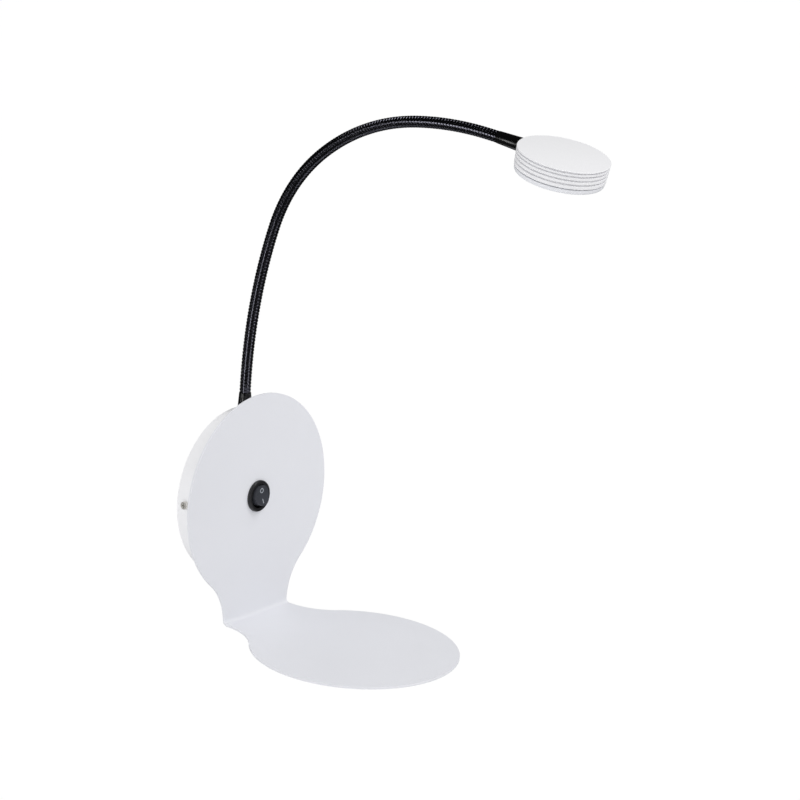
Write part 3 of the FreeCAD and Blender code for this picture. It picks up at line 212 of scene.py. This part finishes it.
CARRIED_OVER = {
    "wall_bracket": ZINC, "side_screws": NICKEL, "plate_studs": ZINC, "plate_nuts": ZINC,
    "switch_housing": SWITCH_BLACK, "switch_rocker": ROCKER_BLACK, "switch_plunger": BRASS,
    "switch_spring": SPRING, "switch_contact": BRASS, "switch_terminals": BRASS,
    "ferrule_washer": ZINC, "ferrule_nut": ZINC, "terminal_block": BLOCK, "terminal_screws": ZINC,
    "led_driver": CASE, "driver_pad": PAD, "earth_stud": ZINC, "earth_nut": ZINC,
    "lead_live": BROWN, "lead_switched": BROWN, "lead_neutral": BLUE, "lead_neck": GREY,
    "lead_earth": GREEN, "head_grub_screw": ZINC, "thermal_pad": PAD, "led_board": BOARD,
    "led_chips": CHIP, "board_screws": ZINC, "head_leads": GREY,
}
for node, mat in CARRIED_OVER.items():
    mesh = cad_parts[node].data
    mesh.materials.clear()
    mesh.materials.append(mat)


# Meshes.
def make(name, points, faces, mat, sharp=40.0):
    """Mesh from points in millimetres in the lamp's frame."""
    mesh = bpy.data.meshes.new(name)
    mesh.from_pydata([tuple(Vector(p) * MM) for p in points], [], faces)
    mesh.validate()
    mesh.polygons.foreach_set("use_smooth", [True] * len(mesh.polygons))
    mesh.set_sharp_from_angle(angle=math.radians(sharp))
    mesh.materials.append(mat)
    thing = bpy.data.objects.new(name, mesh)
    bpy.context.scene.collection.objects.link(thing)
    return thing


def softened(corners, steps=5):
    """Closed profile with a round of the third number at each corner."""
    out = []
    count = len(corners)
    for i, (r, h, soft) in enumerate(corners):
        here = Vector((r, h))
        if soft <= 0:
            out.append(here)
            continue
        back = Vector(corners[i - 1][:2]) - here
        ahead = Vector(corners[(i + 1) % count][:2]) - here
        half = back.angle(ahead) / 2
        cut = min(soft / math.tan(half), 0.48 * back.length, 0.48 * ahead.length)
        radius = cut * math.tan(half)
        middle = (back.normalized() + ahead.normalized()).normalized()
        centre = here + middle * (radius / math.sin(half))
        first = here + back.normalized() * cut - centre
        last = here + ahead.normalized() * cut - centre
        turn = first.angle_signed(last)
        for step in range(steps + 1):
            angle = -turn * step / steps
            out.append(centre + Matrix.Rotation(angle, 2) @ first)
    return out


def lathe(name, corners, to_frame, mat, sides=128, sharp=32.0):
    """Closed profile (radius, height, round) turned about +Z of the frame to_frame."""
    profile = softened(corners)
    points, faces, rings = [], [], []
    for p in profile:
        if p.x < 1e-6:
            rings.append([len(points)])
            points.append(to_frame @ Vector((0, 0, p.y)))
            continue
        ring = []
        for i in range(sides):
            a = 2 * math.pi * i / sides
            ring.append(len(points))
            points.append(to_frame @ Vector((p.x * math.cos(a), p.x * math.sin(a), p.y)))
        rings.append(ring)
    for near, far in zip(rings, rings[1:] + rings[:1]):
        if len(near) == 1 and len(far) == 1:
            continue
        for i in range(sides):
            j = (i + 1) % sides
            if len(near) == 1:
                faces.append((near[0], far[j], far[i]))
            elif len(far) == 1:
                faces.append((near[i], near[j], far[0]))
            else:
                faces.append((near[i], near[j], far[j], far[i]))
    return make(name, points, faces, mat, sharp)


def round_edges(thing, width):
    bevel = thing.modifiers.new("round_edges", "BEVEL")
    bevel.width = width * MM
    bevel.segments = 3
    bevel.limit_method = "ANGLE"
    bevel.angle_limit = math.radians(40)
    bevel.harden_normals = True


# Folded sheet: plate, fold and shelf.
def disc_half():
    """Right half of a disc with its waist, from the fold to the far end, about the disc's centre."""
    spread = PLATE_RADIUS + WAIST_ROUND
    wx = WAIST + WAIST_ROUND
    wy = -math.sqrt(spread ** 2 - wx ** 2)
    touch = math.atan2(-wy, -wx)
    out = []
    for i in range(WAIST_STEPS + 1):
        a = math.pi + (touch - math.pi) * i / WAIST_STEPS
        out.append((wx + WAIST_ROUND * math.cos(a), wy + WAIST_ROUND * math.sin(a)))
    start = math.atan2(wy, wx)
    for i in range(1, DISC_STEPS + 1):
        a = start + (math.pi / 2 - start) * i / DISC_STEPS
        out.append((PLATE_RADIUS * math.cos(a), PLATE_RADIUS * math.sin(a)))
    out[-1] = (0.0, PLATE_RADIUS)
    return out


def make_sheet():
    points, faces = [], []

    def put(x, y, z):
        points.append((x, y, z))
        return len(points) - 1

    bend_y = PLATE_FACE - FOLD_RADIUS
    bend_z = -FOLD_DROP + FOLD_RADIUS * (1 - math.sin(DROOP)) / math.cos(DROOP)
    rows = []
    for radius in (FOLD_RADIUS, FOLD_RADIUS + SHEET):
        bend = []
        for i in range(BEND_STEPS + 1):
            a = -(math.pi / 2 - DROOP) * i / BEND_STEPS
            y, z = bend_y + radius * math.cos(a), bend_z + radius * math.sin(a)
            bend.append([put(x, y, z) for x in (-WAIST, 0.0, WAIST)])
        rows.append(bend)
    inner, outer = rows
    for i in range(BEND_STEPS):
        for j in (0, 1):
            faces.append((inner[i][j], inner[i][j + 1], inner[i + 1][j + 1], inner[i + 1][j]))
            faces.append((outer[i][j + 1], outer[i][j], outer[i + 1][j], outer[i + 1][j + 1]))
        for j in (0, 2):
            faces.append((inner[i][j], inner[i + 1][j], outer[i + 1][j], outer[i][j]))

    half = disc_half()
    hole = [(SWITCH_HOLE * math.cos(a), SWITCH_HOLE * math.sin(a))
            for a in [math.pi / 2 - math.pi * i / HOLE_STEPS for i in range(HOLE_STEPS + 1)]]
    right = [(x, z) for x, z in half if z > bend_z + RIM_CLEAR]
    sides = {}
    for key, y, bend in (("front", PLATE_FACE, inner[0]), ("back", PLATE_FACE + SHEET, outer[0])):
        rim_r = [put(x, y, z) for x, z in right]
        rim_l = [put(-x, y, z) for x, z in right[:-1]]
        hole_r = [put(x, y, z) for x, z in hole]
        hole_l = [put(-x, y, z) for x, z in hole[1:-1]]
        faces.append([bend[1], bend[2]] + rim_r + hole_r)
        round_hole = [hole_r[-1]] + hole_l[::-1] + [hole_r[0]]
        faces.append([bend[1]] + round_hole + [rim_r[-1]] + rim_l[::-1] + [bend[0]])
        sides[key] = ([bend[2]] + rim_r, [bend[0]] + rim_l + [rim_r[-1]], hole_r, round_hole[::-1])
    for front, back in zip(sides["front"], sides["back"]):
        for i in range(len(front) - 1):
            faces.append((front[i], front[i + 1], back[i + 1], back[i]))

    centre = PLATE_FACE - SHELF_REACH * math.cos(DROOP)
    sides = {}
    for key, drop, bend in (("top", 0.0, inner[-1]), ("under", SHEET / math.cos(DROOP), outer[-1])):
        edge = points[bend[0]][1]
        ring = [(x, centre - v) for x, v in half if centre - v < edge - RIM_CLEAR]
        level = [-FOLD_DROP + (y - PLATE_FACE) * math.tan(DROOP) - drop for x, y in ring]
        rim_r = [put(x, y, z) for (x, y), z in zip(ring, level)]
        rim_l = [put(-x, y, z) for (x, y), z in zip(ring[:-1], level)]
        faces.append([bend[0], bend[1], bend[2]] + rim_r + rim_l[::-1])
        sides[key] = ([bend[2]] + rim_r, [bend[0]] + rim_l + [rim_r[-1]])
    for top, under in zip(sides["top"], sides["under"]):
        for i in range(len(top) - 1):
            faces.append((top[i], top[i + 1], under[i + 1], under[i]))
    return make("folded_sheet", points, faces, SHEET_WHITE, 40.0)


def face_outwards(thing):
    work = bmesh.new()
    work.from_mesh(thing.data)
    bmesh.ops.recalc_face_normals(work, faces=work.faces)
    work.to_mesh(thing.data)
    work.free()


sheet = make_sheet()
face_outwards(sheet)
round_edges(sheet, 0.25)
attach(sheet, "wall_unit")
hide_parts("shelf_plate")

# Canopy: turned about the axis that points from the wall to the room.
TO_ROOM = Matrix.Rotation(math.radians(90), 4, "X")
canopy = lathe("canopy_cup", [
    (SWITCH_HOLE, CANOPY_DEPTH, 0),
    (CANOPY_RADIUS, CANOPY_DEPTH, CANOPY_ROUND),
    (CANOPY_RADIUS, 0.0, RIM_ROUND),
    (CANOPY_RADIUS - CANOPY_WALL, 0.0, RIM_ROUND),
    (CANOPY_RADIUS - CANOPY_WALL, CANOPY_DEPTH - CANOPY_WALL, 0.6),
    (SWITCH_HOLE, CANOPY_DEPTH - CANOPY_WALL, 0),
], TO_ROOM, CANOPY_WHITE, sides=192)
face_outwards(canopy)
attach(canopy, "wall_unit")
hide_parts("canopy")


# Gooseneck.
def lean(distance):
    """Angle from upright, this far along the neck."""
    angle = math.radians(NECK_START)
    for length, radius in NECK_BENDS:
        here = min(max(distance, 0.0), length)
        angle += here / radius
        distance -= length
    return angle


def along(angle):
    return Vector((0, -math.sin(angle), math.cos(angle)))


joints = [NECK_FOOT]
for number in range(LINKS):
    joints.append(joints[-1] + along(lean((number + 0.5) * LINK)) * LINK)

# One rib: share of the pitch, and height between root and crest.
RIB = ((0.0, 0.0), (0.05, 0.70), (0.12, 0.97), (0.18, 1.0),
       (0.40, 1.0), (0.46, 0.97), (0.53, 0.70), (0.58, 0.0))


def ribbed(name, centre, first, last, mat):
    """Ribbed skin along centre(s), which gives a point and a direction for each distance s on the neck."""
    stations = []
    rib = math.floor((first - RIB_START) / RIB_PITCH) - 1
    while True:
        begin = RIB_START + rib * RIB_PITCH
        if begin > last:
            break
        for share, height in RIB:
            s = begin + share * RIB_PITCH
            if first - 1e-6 <= s <= last + 1e-6:
                stations.append((s, ROOT + (CREST - ROOT) * height))
        rib += 1
    if stations[0][0] > first + 0.05:
        stations.insert(0, (first, ROOT))
    if stations[-1][0] < last - 0.05:
        stations.append((last, ROOT))
    points, faces = [], []
    for s, radius in stations:
        middle, onward = centre(s)
        across = Vector((1, 0, 0))
        up = onward.cross(across).normalized()
        for i in range(SKIN_SIDES):
            a = 2 * math.pi * i / SKIN_SIDES
            points.append(middle + (across * math.cos(a) + up * math.sin(a)) * radius)
    last_ring = len(points) - SKIN_SIDES
    for ring in range(0, last_ring, SKIN_SIDES):
        above = ring + SKIN_SIDES
        for i in range(SKIN_SIDES):
            j = (i + 1) % SKIN_SIDES
            faces.append((ring + i, ring + j, above + j, above + i))
    faces.append(list(range(SKIN_SIDES))[::-1])
    faces.append(list(range(last_ring, last_ring + SKIN_SIDES)))
    return make(name, points, faces, mat, 60.0)


def bend_at(number):
    """The neck between the middles of two links, with the joint called number between them."""
    corner = joints[number]
    start = (joints[number - 1] + corner) / 2
    end = (corner + joints[number + 1]) / 2

    def centre(s):
        t = (s - (number - 0.5) * LINK) / LINK
        middle = start * (1 - t) ** 2 + corner * 2 * t * (1 - t) + end * t ** 2
        return middle, ((corner - start) * (1 - t) + (end - corner) * t).normalized()

    return centre, start, end


def foot_of_neck(s):
    onward = (joints[1] - joints[0]).normalized()
    if s < 0:
        return joints[0] + Vector((0, 0, s)), Vector((0, 0, 1))
    return joints[0] + onward * s, onward


def end_of_neck(s):
    onward = (joints[LINKS] - joints[LINKS - 1]).normalized()
    return joints[LINKS] + onward * (s - LINKS * LINK), onward


foot = ribbed("neck_skin_01", foot_of_neck, SKIN_BELOW_FOOT, LINK / 2, NECK_BLACK)
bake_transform(foot)
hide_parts("neck_link_01")
# Skin FROM_FAR is baked in place like the others. Bent from its near link, rounding throws it off with all
# joints at their most.
FROM_FAR = 8
for number in range(1, LINKS):
    centre, start, end = bend_at(number)
    name = "neck_skin_%02d" % (number + 1)
    skin = ribbed(name, centre, (number - 0.5) * LINK, (number + 0.5) * LINK, NECK_BLACK)
    if number == FROM_FAR:
        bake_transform(skin)
    else:
        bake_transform(skin)
    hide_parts("neck_link_%02d" % (number + 1))
tip = ribbed("neck_tip", end_of_neck, (LINKS - 0.5) * LINK, LINKS * LINK + TIP_OVERLAP, NECK_BLACK)
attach(tip, "head")

# Ferrules.
base_ferrule = lathe("base_ferrule_skin", [
    (LEAD_BORE, TAIL_FOOT, 0),
    (TAIL_RADIUS, TAIL_FOOT, 0.3),
    (TAIL_RADIUS, COLLAR_FOOT, 0),
    (COLLAR_RADIUS, COLLAR_FOOT, 0.25),
    (COLLAR_RADIUS, COLLAR_TOP, 0.6),
    (SLEEVE_TIP, SLEEVE_TOP, 0.35),
    (LEAD_BORE, SLEEVE_TOP, 0),
], Matrix.Translation((0, NECK_FOOT.y, 0)), FERRULE_BLACK, sides=64)
face_outwards(base_ferrule)
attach(base_ferrule, "wall_unit")
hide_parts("base_ferrule")

FERRULE_TURN = math.radians(90 + FERRULE_PITCH)
ALONG_END = Matrix.Translation(joints[LINKS]) @ Matrix.Rotation(FERRULE_TURN, 4, "X")
end_ferrule = lathe("end_ferrule_skin", [
    (LEAD_BORE, END_SLEEVE_START, 0),
    (SLEEVE_TIP, END_SLEEVE_START, 0.35),
    (END_SLEEVE_RADIUS, END_FERRULE, 0.25),
    (END_TAIL_RADIUS, END_FERRULE, 0),
    (END_TAIL_RADIUS, END_FERRULE + END_TAIL, 0.3),
    (LEAD_BORE, END_FERRULE + END_TAIL, 0),
], ALONG_END, FERRULE_BLACK, sides=64)
face_outwards(end_ferrule)
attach(end_ferrule, "head")
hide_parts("end_ferrule")


# Lamp head, drawn about its own axis with the top face at height 0.
def side_at(depth):
    """Radius of the tapered side, this far below the top face."""
    return HEAD_RADIUS - (HEAD_RADIUS - HEAD_FOOT) * depth / HOUSING


head_centre = (joints[LINKS] + along(FERRULE_TURN) * (END_FERRULE + FERRULE_GAP)
               + along(math.radians(90 + PITCH)) * (side_at(ENTRY) - SPOT_FACE)
               + along(math.radians(PITCH)) * ENTRY)
HEAD = Matrix.Translation(head_centre) @ Matrix.Rotation(math.radians(PITCH), 4, "X")
profile = [(0.0, 0.0, 0), (side_at(0), 0.0, HEAD_ROUND)]
for depth in GROOVES:
    high, low = depth - GROOVE_HALF, depth + GROOVE_HALF
    floor_radius = side_at(depth) - GROOVE_BITE
    profile += [(side_at(high), -high, 0.2), (floor_radius, -high, 0.1)]
    profile += [(floor_radius, -low, 0.1), (side_at(low), -low, 0.2)]
profile += [
    (HEAD_FOOT, -HOUSING, 0.2),
    (HOUSING_BORE, -HOUSING, 0),
    (HOUSING_BORE, -HOUSING_ROOF, 0),
    (0.0, -HOUSING_ROOF, 0),
]
housing = lathe("finned_head", profile, HEAD, HEAD_WHITE, sides=160)
face_outwards(housing)
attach(housing, "head")
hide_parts("head_housing")

diffuser = lathe("opal_diffuser", [
    (0.0, -DIFFUSER_BASE, 0),
    (DIFFUSER_RADIUS, -DIFFUSER_BASE, DIFFUSER_ROUND),
    (DIFFUSER_RIM, -DIFFUSER_EDGE, 0.25),
    (SNAP_RADIUS, -DIFFUSER_EDGE, 0),
    (SNAP_RADIUS, -DIFFUSER_TOP, 0),
    (DIFFUSER_BORE, -DIFFUSER_TOP, 0),
    (DIFFUSER_BORE, -DIFFUSER_INSIDE, 0.6),
    (0.0, -DIFFUSER_INSIDE, 0),
], HEAD, OPAL, sides=160)
face_outwards(diffuser)
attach(diffuser, "head")
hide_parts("diffuser")

# Marks on the rocker: a ring on the upper facet and a bar on the lower one.
ROCKER = Matrix.Translation((0, ROCKER_AXIS, 0)) @ Matrix.Rotation(ROCKER_SET, 4, "X")


def facet(side, reach):
    """Frame on a facet, reach from the valley, its +Z outward; side is 1 for the upper facet."""
    sine, cosine = math.sin(FACET_TILT), math.cos(FACET_TILT)
    spot = Vector((0, -FACET_OUT - reach * sine, side * reach * cosine))
    out = Vector((0, -cosine, -side * sine))
    up = Vector((0, -side * sine, cosine))
    turn = Matrix((up.cross(out), up, out)).transposed().to_4x4()
    return ROCKER @ Matrix.Translation(spot) @ turn


off_mark = lathe("mark_off", [
    (RING_INNER, MARK_SUNK, 0),
    (RING_OUTER, MARK_SUNK, 0),
    (RING_OUTER, MARK_PROUD, 0),
    (RING_INNER, MARK_PROUD, 0),
], facet(1, RING_REACH), MARK_GREY, sides=40)
face_outwards(off_mark)
bar = facet(-1, BAR_REACH)
corners = [(x * BAR_HALF_WIDTH, y * BAR_HALF_LENGTH, z)
           for z in (MARK_SUNK, MARK_PROUD)
           for x, y in ((-1, -1), (1, -1), (1, 1), (-1, 1))]
on_mark = make("mark_on", [bar @ Vector(c) for c in corners],
               [(3, 2, 1, 0), (4, 5, 6, 7), (0, 1, 5, 4), (1, 2, 6, 5), (2, 3, 7, 6), (3, 0, 4, 7)],
               MARK_GREY)
for mark in (off_mark, on_mark):
    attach(mark, "rocker")

# Floor, far below the shelf.
floor_mesh = bpy.data.meshes.new("floor")
floor_mesh.from_pydata([(x * FLOOR_HALF, y * FLOOR_HALF, FLOOR_HEIGHT)
                        for x, y in ((-1, -1), (1, -1), (1, 1), (-1, 1))], [], [(0, 1, 2, 3)])
floor = bpy.data.objects.new("floor", floor_mesh)
bpy.context.scene.collection.objects.link(floor)
pale = bpy.data.materials.new("pale_floor")
pale.use_nodes = True
tree = pale.node_tree
diffuse = tree.nodes["Principled BSDF"]
diffuse.inputs["Base Color"].default_value = (0.80, 0.80, 0.81, 1)
diffuse.inputs["Roughness"].default_value = 0.9
white = tree.nodes.new("ShaderNodeEmission")
white.inputs["Strength"].default_value = 1.02
dark = tree.nodes.new("ShaderNodeEmission")
dark.inputs["Strength"].default_value = 0.05
path = tree.nodes.new("ShaderNodeLightPath")
seen = tree.nodes.new("ShaderNodeMath")
seen.operation = "MULTIPLY"
seen.inputs[1].default_value = 0.97
mirrored = tree.nodes.new("ShaderNodeMixShader")
mix = tree.nodes.new("ShaderNodeMixShader")
tree.links.new(path.outputs["Is Glossy Ray"], mirrored.inputs[0])
tree.links.new(diffuse.outputs[0], mirrored.inputs[1])
tree.links.new(dark.outputs[0], mirrored.inputs[2])
tree.links.new(path.outputs["Is Camera Ray"], seen.inputs[0])
tree.links.new(seen.outputs[0], mix.inputs[0])
tree.links.new(mirrored.outputs[0], mix.inputs[1])
tree.links.new(white.outputs[0], mix.inputs[2])
tree.links.new(mix.outputs[0], tree.nodes["Material Output"].inputs["Surface"])
floor_mesh.materials.append(pale)

# World: white where it is seen, softer as a light, and dark in reflections, for the black neck.
world = bpy.data.worlds.new("studio")
bpy.context.scene.world = world
world.use_nodes = True
tree = world.node_tree
path = tree.nodes.new("ShaderNodeLightPath")
passed = tree.nodes.new("ShaderNodeMath")
passed.operation = "MAXIMUM"
strength = tree.nodes.new("ShaderNodeMapRange")
strength.inputs["To Min"].default_value = 0.66
strength.inputs["To Max"].default_value = 1.0
mirrored = tree.nodes.new("ShaderNodeMapRange")
mirrored.inputs["To Min"].default_value = 1.0
mirrored.inputs["To Max"].default_value = 0.03
level = tree.nodes.new("ShaderNodeMath")
level.operation = "MULTIPLY"
tree.links.new(path.outputs["Is Camera Ray"], passed.inputs[0])
tree.links.new(path.outputs["Is Transmission Ray"], passed.inputs[1])
tree.links.new(passed.outputs[0], strength.inputs["Value"])
tree.links.new(path.outputs["Is Glossy Ray"], mirrored.inputs["Value"])
tree.links.new(strength.outputs["Result"], level.inputs[0])
tree.links.new(mirrored.outputs["Result"], level.inputs[1])
tree.links.new(level.outputs[0], tree.nodes["Background"].inputs["Strength"])
tree.nodes["Background"].inputs["Color"].default_value = (1, 1, 1, 1)


def soft_light(name, spot, width, height, power):
    data = bpy.data.lights.new(name, "AREA")
    data.shape = "RECTANGLE"
    data.size = width
    data.size_y = height
    data.energy = power
    lamp = bpy.data.objects.new(name, data)
    bpy.context.scene.collection.objects.link(lamp)
    lamp.location = spot
    lamp.rotation_euler = (LIT_SPOT - Vector(spot)).to_track_quat("-Z", "Y").to_euler()


# Tall strips give the neck its rows of highlights; the large one lights the shelf and the head from above.
soft_light("left", (-2.4, 0.0, 0.05), 0.3, 2.2, 12)
soft_light("back_left", (-2.0, 1.3, 0.35), 0.3, 0.8, 5)
soft_light("front", (0.1, -2.4, 0.05), 0.3, 2.2, 8)
soft_light("above", (1.0, -2.1, 3.2), 1.6, 1.6, 46)

# Camera: a long lens from the front left, a little above the shelf.
back = Vector(CAMERA_BACK).normalized()
right = Vector(CAMERA_UP).cross(back).normalized()
data = bpy.data.cameras.new("camera")
data.lens = 180.0
data.sensor_width = 36.0
camera = bpy.data.objects.new("camera", data)
bpy.context.scene.collection.objects.link(camera)
turn = Matrix((right, back.cross(right), back)).transposed().to_4x4()
camera.matrix_world = Matrix.Translation(CAMERA_SPOT) @ turn
data.clip_start = 0.1
data.clip_end = 100.0
bpy.context.scene.camera = camera
bpy.context.scene.view_settings.view_transform = "Standard"
